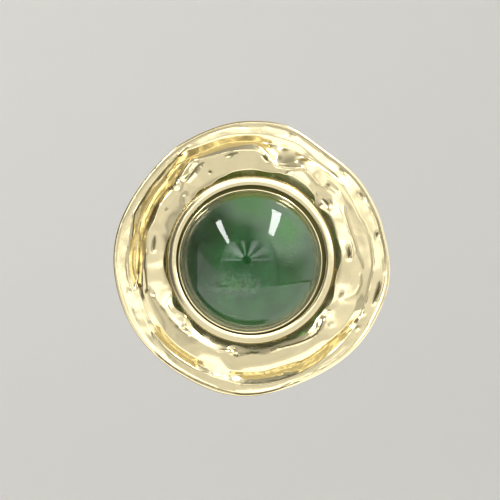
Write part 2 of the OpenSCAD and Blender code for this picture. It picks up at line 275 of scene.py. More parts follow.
def even(u):
    """Shape of a slope that climbs evenly."""
    return u


def swell(climb):
    """Shape of a slope that climbs so far: a high one is steep at its start and level at its end."""
    share = min(max((climb - 0.3) / 0.4, 0), 1)
    return lambda u: mix(u, math.sin(math.pi * u / 2), share)


def run(start, end, steps, shape=even):
    """Points of a section from start up to, but without, end: radius even, rise by the shape."""
    return [(mix(start[0], end[0], i / steps), mix(start[1], end[1], shape(i / steps)))
            for i in range(steps)]


def front_section(angle):
    """The front's section at one angle, from the well's wall to the rim: (radius, rise)."""
    rim = read_round(RIM, angle, 1)
    well = read_round(WELL, angle, 1)
    crest = (read_round(BAND, angle, 1), FLOOR + read_round(BAND, angle, 2))
    shoulder = (read_round(BAND, angle, 3), FLOOR + read_round(BAND, angle, 4))
    foot = (read_round(VALLEY, angle, 1), FLOOR + read_round(VALLEY, angle, 2))
    lip = (read_round(VALLEY, angle, 3), FLOOR + read_round(VALLEY, angle, 4))
    wall = (WELL_R, GUTTER)
    edge = (well, FLOOR + read_round(WELL, angle, 2))
    points = run((WELL_R - 0.03, FLOOR), wall, 3) + run(wall, edge, 16)
    points += run(edge, crest, 26, swell(crest[1] - edge[1]))
    points += run(crest, shoulder, 14) + run(shoulder, foot, 18)
    points += run(foot, lip, 14) + run(lip, (rim - 1.0, BRIM + 0.02), 12)
    # a low step up, and then the rim's rounded edge
    points += [(rim - 0.85, BRIM + 0.05), (rim - 0.7, BRIM + 0.11), (rim - 0.45, BRIM + 0.13)]
    for step in range(1, 9):
        turn = math.radians(90 * step / 8)
        points.append((rim - 0.45 + 0.45 * math.sin(turn), BRIM + 0.13 - 0.55 * (1 - math.cos(turn))))
    return points


def back_section(angle):
    """The hollow back's section at one angle, from the rim to the flat behind the cup."""
    rim = read_round(RIM, angle, 1)
    crest = min(read_round(BAND, angle, 1), 21.6)
    foot, low = read_round(VALLEY, angle, 1), FLOOR + read_round(VALLEY, angle, 2) - 0.75
    under = FLOOR + read_round(BAND, angle, 2) - BRIM_THICKNESS
    knots = [
        (rim - 0.05, BRIM_BACK + 0.25), (rim - 0.30, BRIM_BACK), (25.4, BRIM_BACK),
        (foot + 0.4, low), (foot - 0.2, low), (crest + 0.1, under - 0.1), (crest - 0.3, under),
        (19.0, under - 0.25), (17.5, BACK), (17.2, BACK),
    ]
    points = []
    for start, end in zip(knots, knots[1:]):
        points += run(start, end, 4)
    return points + [knots[-1]]


def pick_verts(obj, wanted):
    """Selects, in edit mode, the vertices that wanted(vertex) is true for."""
    bpy.ops.mesh.select_mode(type="VERT")
    bpy.ops.mesh.select_all(action="DESELECT")
    mesh = bmesh.from_edit_mesh(obj.data)
    for v in mesh.verts:
        v.select_set(wanted(v))
    mesh.select_flush(True)
    bmesh.update_edit_mesh(obj.data)


def model_hammered_disc():
    """The disc is drawn ring by ring: each ring is extruded from the last and laid on its section.
    The wavy rings are set from the tables, because no transform operator gives them."""
    angles = [360 * i / AROUND for i in range(AROUND)]
    sections = [front_section(a) + back_section(a) for a in angles]
    bpy.ops.object.select_all(action="DESELECT")
    bpy.ops.mesh.primitive_circle_add(vertices=AROUND, radius=WELL_R * MM, fill_type="NOTHING",
                                      location=(0, 0, -DISC_DROP * MM), rotation=(math.pi / 2, 0, 0))
    disc = bpy.context.object
    disc.name = disc.data.name = "hammered_disc_cast"
    bpy.ops.object.transform_apply(location=True, rotation=True, scale=True)
    bpy.ops.object.mode_set(mode="EDIT")
    bpy.ops.mesh.select_all(action="SELECT")
    for ring in range(len(sections[0])):
        if ring:
            bpy.ops.mesh.extrude_edges_move()
        mesh = bmesh.from_edit_mesh(disc.data)
        for v in mesh.verts:
            if v.select:
                angle = angle_of(v.co)
                radius, rise = sections[round(angle / 360 * AROUND) % AROUND][ring]
                v.co = place(angle, radius, rise)
        bmesh.update_edit_mesh(disc.data)
    bpy.ops.mesh.edge_face_add()
    pick_verts(disc, lambda v: abs(v.co.y + FLOOR * MM) < 1e-6 and radius_of(v.co) < WELL_R)
    bpy.ops.mesh.edge_face_add()
    bpy.ops.mesh.select_all(action="SELECT")
    bpy.ops.mesh.normals_make_consistent(inside=False)
    return disc


def spots_along(line):
    """Closely spaced (angle, radius) spots along a line."""
    spots = [line[0]]
    for (a0, r0), (a1, r1) in zip(line, line[1:]):
        steps = 2 + 2 * round(abs(a1 - a0) + 5 * abs(r1 - r0))
        spots += [(mix(a0, a1, u / steps), mix(r0, r1, u / steps)) for u in range(1, steps + 1)]
    return spots


def paint_polish_and_shade(disc):
    """Records, for the material, how dark each point of the disc is painted: old polish and painted
    shade in the marks and creases, painted shade in the gap around the cup and a painted dark
    reflection in the valley.
    """
    strokes = [(0.30, shade, line) for width, depth, shade, line in CREASES if shade]
    strokes += [(0.42, shade, line) for width, depth, shade, line in MARKS if shade]
    strokes += PAINTED_SHADE
    spots = []
    for width, shade, line in strokes:
        along = spots_along(line)
        for i, (angle, radius) in enumerate(along):
            taper = 1 if width > 0.5 else 0.45 + 0.55 * math.sin(math.pi * (i + 0.5) / len(along))
            spots.append((place(angle, radius, 0), width * taper * MM, shade))
    tree = KDTree(len(spots))
    for i, spot in enumerate(spots):
        tree.insert(spot[0], i)
    tree.balance()
    # the attribute holds old polish together with painted shade and painted dark reflection
    polish_and_painted_shade = disc.data.attributes.new("polish_and_painted_shade", "FLOAT", "POINT")
    for v in disc.data.vertices:
        if v.normal.y < -0.1 and -v.co.y > (FLOOR + 0.1) * MM:
            here = Vector((v.co.x, 0, v.co.z))
            darkest = 0.0
            for co, i, away in tree.find_range(here, 1.3 * MM):
                _, width, shade = spots[i]
                darkest = max(darkest, shade * min(max(1.7 * (1 - away / width), 0), 1))
            polish_and_painted_shade.data[v.index].value = darkest


def soften(disc, first, last, inner, outer, rubs):
    """Rubs the front's folds down to a soft swell, between two angles and two radii."""
    pick_verts(disc, lambda v: first < angle_of(v.co) < last and inner < radius_of(v.co) < outer
               and -v.co.y > (FLOOR + 1.0) * MM)
    bpy.ops.mesh.vertices_smooth(factor=0.5, repeat=rubs)


def hammer(disc, marks):
    """Each mark is one blow of the chasing hammer: what lies on its line is pushed in and drags
    its neighbours with it. The back and the well's wall are hidden from it."""
    pick_verts(disc, lambda v: -v.co.y < (FLOOR + 0.1) * MM or radius_of(v.co) < 16.8)
    bpy.ops.mesh.hide(unselected=False)
    mesh = bmesh.from_edit_mesh(disc.data)
    tree = KDTree(len(mesh.verts))
    for i, v in enumerate(mesh.verts):
        if not v.hide:
            tree.insert((v.co.x, 0, v.co.z), i)
    tree.balance()
    for width, depth, shade, line in marks:
        bpy.ops.mesh.select_all(action="DESELECT")
        mesh = bmesh.from_edit_mesh(disc.data)
        mesh.verts.ensure_lookup_table()
        for angle, radius in spots_along(line):
            mesh.verts[tree.find(place(angle, radius, 0))[1]].select_set(True)
        mesh.select_flush(True)
        bmesh.update_edit_mesh(disc.data)
        bpy.ops.transform.translate(value=(0, depth * MM, 0), use_proportional_edit=True,
                                    proportional_edit_falloff="SMOOTH",
                                    proportional_size=width * MM)
    bpy.ops.mesh.reveal(select=False)


def weigh_front(disc):
    """Marks where worked metal is uneven: all the front but the inner slope of the smooth valley."""
    first, last = SMOOTH_VALLEY
    front = disc.vertex_groups.new(name="front")
    for v in disc.data.vertices:
        if -v.co.y > (FLOOR + 0.1) * MM and v.normal.y < -0.2:
            angle, radius = angle_of(v.co), radius_of(v.co)
            smooth = min(max((angle - first) / 8, 0), max((last - angle) / 8, 0), 1)
            away = min(max((abs(radius - 22.9) - 1.6) / 0.5, 0), 1)
            weight = min((radius - 17.0) / 1.0, (26.4 - radius) / 1.0, 1) * (1 - smooth * (1 - away))
            if weight > 0:
                front.add([v.index], weight, "REPLACE")


def weigh_valley(disc):
    """Marks the deep floor of the lower valley, which is crackled."""
    first, last = CRACKLED_VALLEY
    valley = disc.vertex_groups.new(name="valley")
    for v in disc.data.vertices:
        angle, radius = angle_of(v.co), radius_of(v.co)
        foot, rise, lip = (read_round(VALLEY, angle, column) for column in (1, 2, 3))
        across = min((radius - foot + 1.0) / 0.5, (lip - radius) / 0.4)
        along = min((0.6 - rise) / 0.2, (angle - first) / 15, (last - angle) / 15)
        weight = min(across, along, 1)
        if weight > 0 and v.normal.y < -0.2 and -v.co.y > (FLOOR + 0.02) * MM:
            valley.add([v.index], weight, "REPLACE")


def finish_disc(disc):
    """Softens the blows, then adds the fine unevenness of worked metal to the front."""
    bpy.ops.mesh.select_all(action="SELECT")
    bpy.ops.mesh.vertices_smooth(factor=0.5, repeat=2)
    bpy.ops.object.mode_set(mode="OBJECT")
    weigh_front(disc)
    weigh_valley(disc)
    for name, group, size, height in (("broad", "front", 4.5, 0.08), ("fine", "front", 1.5, 0.012),
                                      ("crackle", "valley", 0.6, 0.11)):
        clouds = bpy.data.textures.new(name, "CLOUDS")
        clouds.noise_scale = size * MM
        clouds.noise_depth = 1
        wear = disc.modifiers.new(name, "DISPLACE")
        wear.texture, wear.direction, wear.vertex_group = clouds, "Y", group
        wear.strength, wear.mid_level = height * MM, 0.5
        bpy.ops.object.modifier_apply(modifier=name)
    paint_polish_and_shade(disc)
    bpy.ops.object.shade_smooth_by_angle(angle=math.radians(60))


def spin_profile(name, profile, steps):
    """Draws a section as a chain of extruded vertices and spins it about the disc's axis."""
    bpy.ops.object.select_all(action="DESELECT")
    bpy.ops.mesh.primitive_plane_add(size=2 * MM)
    piece = bpy.context.object
    piece.name = piece.data.name = name
    bpy.ops.object.mode_set(mode="EDIT")
    pick_verts(piece, lambda v: not (v.co.x > 0 and v.co.y > 0))
    bpy.ops.mesh.delete(type="VERT")
    bpy.ops.mesh.select_all(action="SELECT")
    here = Vector((MM, MM, 0))
    start = place(90, *profile[0])
    bpy.ops.transform.translate(value=start - here)
    for before, after in zip(profile, profile[1:]):
        step = place(90, *after) - place(90, *before)
        bpy.ops.mesh.extrude_vertices_move(TRANSFORM_OT_translate={"value": step})
    bpy.ops.mesh.select_all(action="SELECT")
    bpy.ops.mesh.spin(steps=steps, angle=2 * math.pi, center=(0, 0, -DISC_DROP * MM), axis=(0, 1, 0))
    bpy.ops.mesh.select_all(action="SELECT")
    bpy.ops.mesh.remove_doubles(threshold=0.002 * MM)
    bpy.ops.mesh.normals_make_consistent(inside=False)
    bpy.ops.object.mode_set(mode="OBJECT")
    bpy.ops.object.shade_smooth_by_angle(angle=math.radians(50))
    return piece


def arc(centre_r, centre_h, radius, start, end, steps):
    """Points of an arc in the section: angles from the outward direction towards the front."""
    turns = [math.radians(mix(start, end, i / steps)) for i in range(steps + 1)]
    return [(centre_r + radius * math.cos(t), centre_h + radius * math.sin(t)) for t in turns]


def shift_to_stone(piece):
    """Moves a piece from the cup's axis to the stone's, which is a little low and to the left."""
    bpy.ops.object.mode_set(mode="EDIT")
    bpy.ops.mesh.select_all(action="SELECT")
    bpy.ops.transform.translate(value=(STONE_SHIFT[0] * MM, 0, STONE_SHIFT[1] * MM))
    bpy.ops.object.mode_set(mode="OBJECT")


def model_bezel_cup():
    """A shallow cup with a broad flat rim, and inside it a thin collar around the stone."""
    floor, top, bend = CUP_BACK + 0.6, CUP_BACK + CUP_HEIGHT, 0.12
    outer, inner = 16.62, 14.98
    profile = [(0.0, CUP_BACK), (8.0, CUP_BACK), (outer - bend, CUP_BACK)]
    profile += arc(outer - bend, CUP_BACK + bend, bend, -90, 0, 4)
    profile += arc(outer - bend, top - bend, bend, 0, 89, 8)
    profile += [((outer + inner) / 2, top + 0.006)]
    profile += arc(inner + bend, top - bend, bend, 91, 180, 8)
    profile += [(inner, floor - 0.2), (inner - 0.05, floor - 0.25), (8.0, floor - 0.25),
                (0.0, floor - 0.25)]
    cup = spin_profile("bezel_cup_polished", profile, AROUND)
    top, inner = CUP_BACK + COLLAR_HEIGHT, COLLAR_R - COLLAR_WALL
    profile = [(0.0, CUP_BACK + 0.1), (COLLAR_R, CUP_BACK + 0.1), (COLLAR_R, CUP_BACK + 0.3)]
    profile += arc(COLLAR_R - bend, top - bend, bend, 0, 90, 6)
    profile += arc(inner + bend, top - bend, bend, 90, 180, 6)
    profile += [(inner, floor + 0.05), (inner - 0.05, floor), (8.0, floor), (0.0, floor)]
    collar = spin_profile("stone_collar", profile, AROUND)
    shift_to_stone(collar)
    weld = cup.modifiers.new("weld", "BOOLEAN")
    weld.operation, weld.object, weld.solver = "UNION", collar, "EXACT"
    bpy.ops.object.select_all(action="DESELECT")
    bpy.context.view_layer.objects.active = cup
    cup.select_set(True)
    bpy.ops.object.modifier_apply(modifier="weld")
    bpy.data.objects.remove(collar)
    bpy.ops.object.shade_smooth_by_angle(angle=math.radians(50))
    return cup


def model_domed_stone():
    """A high cabochon: a short straight girdle and an elliptical dome."""
    radius, girdle, height = STONE_R, STONE_BACK + 0.9, 8.7
    profile = [(0.0, STONE_BACK), (8.0, STONE_BACK), (radius - 0.15, STONE_BACK)]
    profile += [(radius, STONE_BACK + 0.15), (radius, STONE_BACK + 0.5)]
    for i in range(97):
        turn = math.radians(90 * i / 96)
        profile.append((radius * math.cos(turn), girdle + height * math.sin(turn)))
    profile[-1] = (0.0, girdle + height)
    stone = spin_profile("domed_stone_polished", profile, 360)
    shift_to_stone(stone)
    return stone


def new_material(name):
    """An empty node material and its Principled shader, joined to the output."""
    material = bpy.data.materials.new(name)
    material.use_nodes = True
    tree = material.node_tree
    return material, tree, tree.nodes["Principled BSDF"]


def add_node(tree, kind, inputs=None, **settings):
    """Adds one node, with its settings and its input values or links."""
    node = tree.nodes.new(kind)
    for key, value in settings.items():
        setattr(node, key, value)
    for key, value in (inputs or {}).items():
        if isinstance(value, bpy.types.NodeSocket):
            tree.links.new(value, node.inputs[key])
        else:
            node.inputs[key].default_value = value
    return node


def plated_gold(name, colour, deep_colour, roughness, wave_mm, wave_height_mm):
    """Pale gold plating on cast metal: a bright polish, a slightly deeper tone in soft patches,
    and the faint waviness that polishing leaves."""
    material, tree, shader = new_material(name)
    where = add_node(tree, "ShaderNodeTexCoord").outputs["Object"]
    patches = add_node(tree, "ShaderNodeTexNoise",
                       {"Vector": where, "Scale": 1 / (5 * MM), "Detail": 2.0, "Roughness": 0.5})
    tone = mix_colours(tree, patches.outputs["Fac"], colour, deep_colour)
    tree.links.new(tone, shader.inputs["Base Color"])
    shader.inputs["Metallic"].default_value = 1.0
    polish = add_node(tree, "ShaderNodeTexNoise",
                      {"Vector": where, "Scale": 1 / (1.2 * MM), "Detail": 3.0})
    rough = add_node(tree, "ShaderNodeMapRange",
                     {"Value": polish.outputs["Fac"], "To Min": roughness * 0.7,
                      "To Max": roughness * 1.4})
    tree.links.new(rough.outputs["Result"], shader.inputs["Roughness"])
    waves = add_node(tree, "ShaderNodeTexNoise",
                     {"Vector": where, "Scale": 1 / (wave_mm * MM), "Detail": 1.5, "Roughness": 0.45})
    bump = add_node(tree, "ShaderNodeBump",
                    {"Height": waves.outputs["Fac"], "Strength": 1.0, "Distance": wave_height_mm * MM})
    tree.links.new(bump.outputs["Normal"], shader.inputs["Normal"])
    return material


def darken_by_polish_and_shade(material):
    """Brown colour where the disc's attribute says so: old polish, with painted shade and a painted
    dark reflection.
    """
    tree = material.node_tree
    shader = tree.nodes["Principled BSDF"]
    polish_and_shade_amount = add_node(tree, "ShaderNodeAttribute", attribute_name="polish_and_painted_shade").outputs["Fac"]
    clean = shader.inputs["Base Color"].links[0].from_socket
    # painted shade: the clean gold turns brown as far as the attribute says
    tree.links.new(mix_colours(tree, polish_and_shade_amount, clean, "4D4420"), shader.inputs["Base Color"])


def both(tree, a, b):
    """The product of two values: where both hold."""
    return add_node(tree, "ShaderNodeMath", {0: a, 1: b}, operation="MULTIPLY").outputs["Value"]


def distance_mm(tree, where, centre, along=(1, 0, 1)):
    """Distance in millimetres from a point, measured along some of the axes only."""
    away = add_node(tree, "ShaderNodeVectorMath", {0: where, 1: centre}, operation="SUBTRACT")
    scaled = add_node(tree, "ShaderNodeVectorMath",
                      {0: away.outputs["Vector"], 1: [a / MM for a in along]}, operation="MULTIPLY")
    length = add_node(tree, "ShaderNodeVectorMath", {0: scaled.outputs["Vector"]}, operation="LENGTH")
    return length.outputs["Value"]


def ramp_between(tree, value, start, end, low=0.0, high=1.0, linear=False):
    """Goes from low to high, softly unless linear, while the value goes from start to end."""
    return add_node(tree, "ShaderNodeMapRange",
                    {"Value": value, "From Min": start, "From Max": end, "To Min": low, "To Max": high},
                    interpolation_type="LINEAR" if linear else "SMOOTHSTEP").outputs["Result"]


def sum_of(tree, a, b):
    """The sum of two shares, at most 1."""
    return add_node(tree, "ShaderNodeMath", {0: a, 1: b}, operation="ADD", use_clamp=True).outputs["Value"]


def painted_glow_spot(tree, where, x, z, outer, inner, level, along=(1, 0, 1)):
    """Painted glow that rises to a level at x and z millimetres from the stone's axis: a milky patch
    that stands in for light focused through the dome.
    """
    middle = STONE_AXIS + Vector((x, 0, z)) * MM
    return ramp_between(tree, distance_mm(tree, where, middle, along), outer, inner, 0.0, level)


def mix_colours(tree, factor, start, end):
    """A colour that goes from start to end with the factor; each is a socket or a hex colour."""
    node = add_node(tree, "ShaderNodeMix", {"Factor": factor}, data_type="RGBA")
    for socket, colour in ((6, start), (7, end)):
        if isinstance(colour, bpy.types.NodeSocket):
            tree.links.new(colour, node.inputs[socket])
        else:
            node.inputs[socket].default_value = hex_colour(colour)
    return node.outputs[2]


def green_resin():
    """Clear casting resin dyed green all through, so it is darkest where it is thickest. Milky patches
    at the lower middle, the right, the upper right and the top are painted glow for light focused
    through the dome, with a few wisps in two of them; the left side is darker as painted shade, and
    a painted olive ring at the thin edge stands in for the gold seen through it. The dome is polished;
    the flat back is left as cast, frosted and uneven."""
    material, tree, shader = new_material("green_resin")
    shader.inputs["IOR"].default_value = 1.55
    where = add_node(tree, "ShaderNodeTexCoord").outputs["Object"]
    radius = distance_mm(tree, where, STONE_AXIS)
    # painted reflection: towards the thin edge the stone is painted olive and less clear, standing in for
    # the gold seen through it
    edge = ramp_between(tree, radius, 12.5, 13.2)
    clouds = add_node(tree, "ShaderNodeTexNoise",
                      {"Vector": where, "Scale": 1 / (1.1 * MM), "Detail": 5.0, "Roughness": 0.72,
                       "Distortion": 1.0})
    wisps = ramp_between(tree, clouds.outputs["Fac"], 0.36, 0.72)
    # painted glow: milky patches at the lower middle, the right, the upper right and the top stand in for
    # light focused through the dome; wisps show in the lower and right ones
    low = painted_glow_spot(tree, where, -3.4, -4.5, 3.4, 0.8, 1.0, (0.5, 0, 1))
    right = painted_glow_spot(tree, where, 7.8, 4.4, 4.2, 0.6, 0.4, (1, 0, 0.6))
    glow = painted_glow_spot(tree, where, 6.4, 6.4, 8.0, 1.0, 0.14)
    top = painted_glow_spot(tree, where, -0.5, 12.0, 6.0, 1.0, 0.14, (0.8, 0, 1))
    threads = both(tree, wisps, both(tree, sum_of(tree, low, right), 0.24))
    painted_glow = sum_of(tree, sum_of(tree, glow, top), threads)
    painted_glow_and_edge = sum_of(tree, both(tree, edge, 0.12), painted_glow)
    place_in = add_node(tree, "ShaderNodeSeparateXYZ", {"Vector": where}).outputs
    # painted shade: the stone's colour is darker towards its left side
    left_painted_shade = mix_colours(tree, ramp_between(tree, place_in["X"], -0.003, -0.011), "FFFFFF", "E8D6E6")
    deepest = mix_colours(tree, ramp_between(tree, radius, 6.8, 2.0), left_painted_shade, "D0F7DF")
    body = mix_colours(tree, edge, "94E184", "A3A85A")
    tint = mix_colours(tree, ramp_between(tree, painted_glow_and_edge, 0.0, 0.20), deepest, body)
    tree.links.new(tint, shader.inputs["Base Color"])
    clear = add_node(tree, "ShaderNodeMath", {0: 1.0, 1: painted_glow_and_edge}, operation="SUBTRACT").outputs["Value"]
    tree.links.new(clear, shader.inputs["Transmission Weight"])
    back = add_node(tree, "ShaderNodeMath", {0: place_in["Y"], 1: -(STONE_BACK + 0.05) * MM},
                    operation="GREATER_THAN").outputs["Value"]
    rough = add_node(tree, "ShaderNodeMapRange", {"Value": back, "To Min": 0.02, "To Max": 0.35})
    tree.links.new(rough.outputs["Result"], shader.inputs["Roughness"])
    bump = add_node(tree, "ShaderNodeBump",
                    {"Height": clouds.outputs["Fac"], "Strength": back, "Distance": 0.08 * MM})
    tree.links.new(bump.outputs["Normal"], shader.inputs["Normal"])
    dye = add_node(tree, "ShaderNodeVolumeAbsorption", {"Color": (0.01, 0.51, 0.26, 1), "Density": 142})
    tree.links.new(dye.outputs["Volume"], tree.nodes["Material Output"].inputs["Volume"])
    return material


def groove_shadow():
    """The narrow groove between rim and collar, painted dark olive as painted shade."""
    material, _, shader = new_material("groove_painted_shade")
    # painted shade: one flat dark olive for the shaded groove
    shader.inputs["Base Color"].default_value = hex_colour("6E6A35")
    shader.inputs["Metallic"].default_value = 0.3
    shader.inputs["Roughness"].default_value = 0.55
    return material


def setting_floor():
    """The cast floor of the cup under the stone: unpolished, uneven gold, with a paler turned
    ring near its edge that shows through the thin rim of the stone."""
    material, tree, shader = new_material("setting_floor")
    where = add_node(tree, "ShaderNodeTexCoord").outputs["Object"]
    clouds = add_node(tree, "ShaderNodeTexNoise",
                      {"Vector": where, "Scale": 1 / (4 * MM), "Detail": 5.0, "Roughness": 0.6,
                       "Distortion": 0.8})
    tone = add_node(tree, "ShaderNodeValToRGB", {"Fac": clouds.outputs["Fac"]})
    ramp = tone.color_ramp
    ramp.elements[0].position, ramp.elements[0].color = 0.35, hex_colour("B9A775")
    ramp.elements[1].position, ramp.elements[1].color = 0.70, hex_colour("F0E3B8")
    radius = distance_mm(tree, where, STONE_AXIS)
    turned = ramp_between(tree, radius, 9.4, 10.4)
    pitch = 0.42
    wave = add_node(tree, "ShaderNodeMath", {0: both(tree, radius, 2 * math.pi / pitch)}, operation="SINE")
    rings = mix_colours(tree, ramp_between(tree, wave.outputs["Value"], -1.0, 0.6), "A89858", "FFF2B4")
    tree.links.new(mix_colours(tree, turned, tone.outputs["Color"], rings), shader.inputs["Base Color"])
    metal = add_node(tree, "ShaderNodeMapRange", {"Value": turned, "To Min": 0.6, "To Max": 0.0})
    tree.links.new(metal.outputs["Result"], shader.inputs["Metallic"])
    shader.inputs["Roughness"].default_value = 0.5
    bump = add_node(tree, "ShaderNodeBump",
                    {"Height": clouds.outputs["Fac"], "Strength": 1.0, "Distance": 0.25 * MM})
    tree.links.new(bump.outputs["Normal"], shader.inputs["Normal"])
    return material


def paint(obj, material):
    """Gives a piece one material."""
    obj.data.materials.clear()
    obj.data.materials.append(material)


def add_second(obj, material, wanted):
    """Gives the faces that wanted(face) is true for a second material."""
    obj.data.materials.append(material)
    for face in obj.data.polygons:
        if wanted(face):
            face.material_index = len(obj.data.materials) - 1


def stone_radius(co):
    """Distance of a point from the stone's axis, in millimetres."""
    return math.hypot(co.x / MM - STONE_SHIFT[0], co.z / MM + DISC_DROP - STONE_SHIFT[1])


def set_stage():
    """A plain pale floor far below, with a backdrop curving up all round, not mirrored by the metal."""
    flat, curve = 2.2, 1.2
    bpy.ops.object.select_all(action="DESELECT")
    bpy.ops.mesh.primitive_circle_add(vertices=96, radius=flat, fill_type="NGON", location=(0, 0, -0.25))
    floor = bpy.context.object
    floor.name = floor.data.name = "pale_floor"
    bpy.ops.object.transform_apply(location=True, rotation=True, scale=True)
    bpy.ops.object.mode_set(mode="EDIT")
    bpy.ops.mesh.select_mode(type="EDGE")
    bpy.ops.mesh.select_all(action="DESELECT")
    mesh = bmesh.from_edit_mesh(floor.data)
    for edge in mesh.edges:
        edge.select_set(edge.is_boundary)
    bmesh.update_edit_mesh(floor.data)
    radius = flat
    for step in range(1, 9):
        turn = math.radians(90 * step / 8)
        wider = flat + curve * math.sin(turn)
        lift = curve * (math.cos(math.radians(90 * (step - 1) / 8)) - math.cos(turn))
        bpy.ops.mesh.extrude_edges_move(TRANSFORM_OT_translate={"value": (0, 0, lift)})
        bpy.ops.transform.resize(value=(wider / radius, wider / radius, 1))
        radius = wider
    bpy.ops.object.mode_set(mode="OBJECT")
    bpy.ops.object.shade_smooth()
    material, _, shader = new_material("pale_paper")
    shader.inputs["Base Color"].default_value = hex_colour("F5F3EE")
    shader.inputs["Roughness"].default_value = 0.9
    paint(floor, material)
    floor.visible_glossy = False


# direction in which the camera's hole is seen
HOLE = (-0.061, -0.998, 0.017)

# folds of the front cloth around the hole: degrees clockwise from above it, light added
FOLDS = ((-104, -0.4), (-96, -0.6), (-87, 2.6), (-79, 0.0), (-70, 1.0), (-60, 3.0), (-48, 4.0), (-36, 3.0),
         (-28, -0.7), (-20, -0.7), (-10, 3.0), (-2, -0.7), (11, -0.7), (20, 2.4), (30, 3.6), (37, 0.5),
         (47, -0.5), (56, 2.6), (67, 2.2), (76, 0.2), (82, 0.0), (87, 2.4), (93, 0.0))


# normals of the planes through the earring that part the tent into its walls
UP_FRONT = (0, 0.37, 0.93)
BELOW_STRIP = (0.875, 0.147, -0.458)
RIGHT_WALL = (0.838, 0.483, 0.255)
LEFT_WALL = (-0.792, 0.509, 0.336)
LEFT_CORNER = (-0.782, 0.109, -0.614)
LEFT_SHADOW = (0.363, -0.439, 0.822)
LEFT_PANEL = (-0.98, 0.198, 0.012)
TABLE = (0.05, 0.106, -1)


def side_of(tree, direction, normal, edge, soft):
    """1 where the direction lies on the normal's side of a plane through the earring, else 0."""
    dot = add_node(tree, "ShaderNodeVectorMath", {0: direction, 1: normal}, operation="DOT_PRODUCT")
    return add_node(tree, "ShaderNodeMapRange",
                    {"Value": dot.outputs["Value"], "From Min": edge - soft, "From Max": edge + soft},
                    interpolation_type="SMOOTHSTEP").outputs["Result"]


def blend_level(tree, factor, a, b):
    """Level a where factor is 0 and b where it is 1."""
    node = add_node(tree, "ShaderNodeMix", {"Factor": factor}, data_type="FLOAT")
    for socket, value in ((2, a), (3, b)):
        if isinstance(value, bpy.types.NodeSocket):
            tree.links.new(value, node.inputs[socket])
        else:
            node.inputs[socket].default_value = value
    return node.outputs[0]


def cloth_folds(tree, look):
    """Unevenness of the front cloth: soft wrinkles all over, folds that run up from the camera's
    hole, and a seam across it."""
    from_hole = add_node(tree, "ShaderNodeVectorMath", {0: look, 1: HOLE}, operation="SUBTRACT")
    away = from_hole.outputs["Vector"]
    axes = add_node(tree, "ShaderNodeSeparateXYZ", {"Vector": away}).outputs
    turn = add_node(tree, "ShaderNodeMath", {0: axes["X"], 1: axes["Z"]}, operation="ARCTAN2")
    around = ramp_between(tree, turn.outputs["Value"], -math.pi, math.pi, linear=True)
    folds = add_node(tree, "ShaderNodeValToRGB", {"Fac": around})
    ramp = folds.color_ramp
    ramp.interpolation = "EASE"
    for stop in FOLDS:
        position, level = 0.5 + stop[0] / 360, (stop[1] + 0.8) / 5
        ramp.elements.new(position).color = (level, level, level, 1)
    ramp.elements[0].color = ramp.elements[-1].color = (0.16, 0.16, 0.16, 1)
    swing = ramp_between(tree, folds.outputs["Color"], 0.0, 1.0, -0.8, 4.2, linear=True)
    reach = add_node(tree, "ShaderNodeVectorMath", {0: away}, operation="LENGTH").outputs["Value"]
    near = ramp_between(tree, reach, 0.14, 0.60, 1.0, 0.0)
    height = add_node(tree, "ShaderNodeMath", {0: axes["Z"]}, operation="ABSOLUTE").outputs["Value"]
    seam = both(tree, near, ramp_between(tree, height, 0.006, 0.016, 0.9, 0.0))
    soft = add_node(tree, "ShaderNodeTexNoise",
                    {"Vector": look, "Scale": 9.0, "Detail": 3.0, "Roughness": 0.6})
    wrinkles = ramp_between(tree, soft.outputs["Fac"], 0.32, 0.68, -0.11, 0.11)
    rays = both(tree, swing, near)
    total = add_node(tree, "ShaderNodeMath", {0: rays, 1: seam}, operation="ADD").outputs["Value"]
    return add_node(tree, "ShaderNodeMath", {0: total, 1: wrinkles}, operation="ADD").outputs["Value"]


